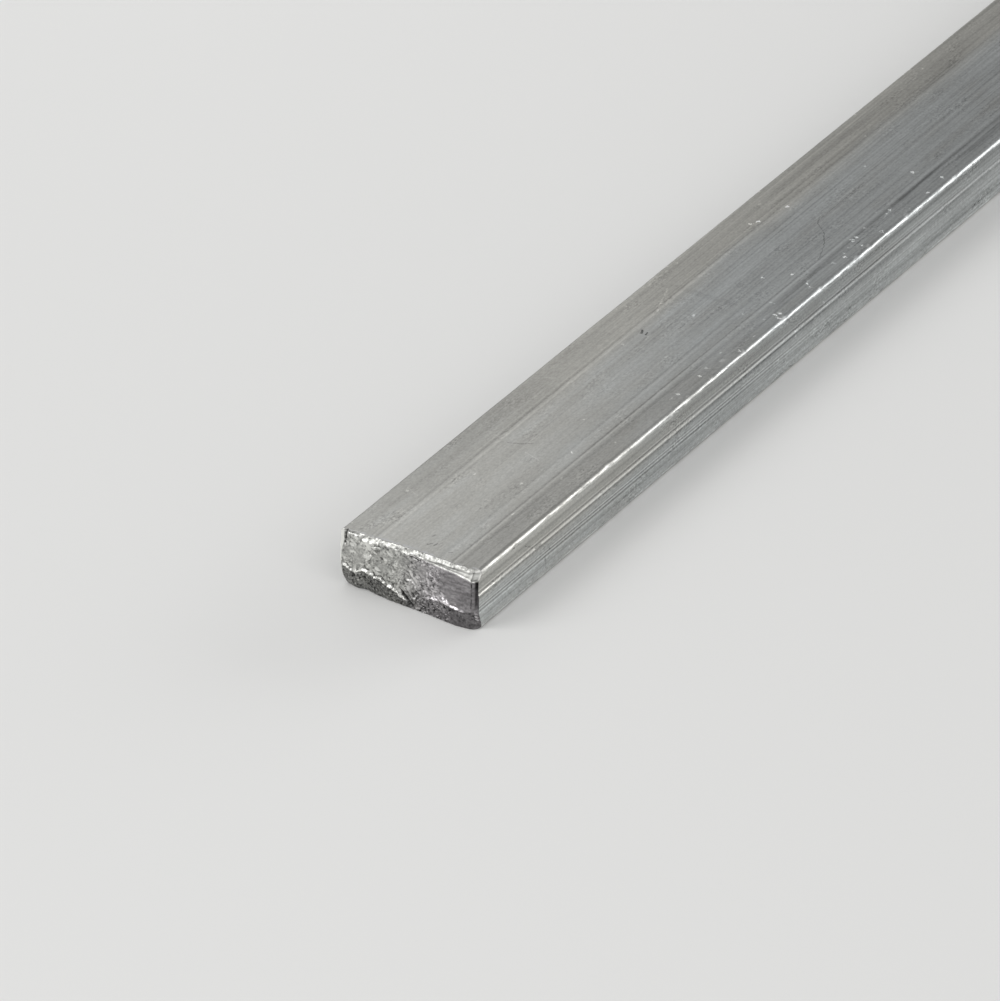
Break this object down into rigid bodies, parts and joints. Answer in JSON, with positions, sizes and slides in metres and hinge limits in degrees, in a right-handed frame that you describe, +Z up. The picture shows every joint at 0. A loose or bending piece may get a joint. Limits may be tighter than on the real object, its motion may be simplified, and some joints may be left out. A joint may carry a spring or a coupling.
{
  "type": "metal flat bar",
  "caption": "Straight aluminium flat bar with a plain rectangular section and lightly rounded long edges. One end is sheared and torn, the other sawn square. Stock for brackets and frames.",
  "frame": {"origin": "under the middle of the bar, on the broad face that it lies on", "axes": "+X along the bar from the sheared end to the sawn end, +Y across the broad faces, +Z up through the thickness. The narrow face with the fine ledge is at -Y."},
  "size_m": [1.002, 0.025, 0.01],
  "materials": {
    "mill_aluminium": "mill finish, with fine die lines along the bar and handling scratches"
  },
  "bodies": {
    "root": {"flat_bar": "mill_aluminium"}
  },
  "joints": []
}
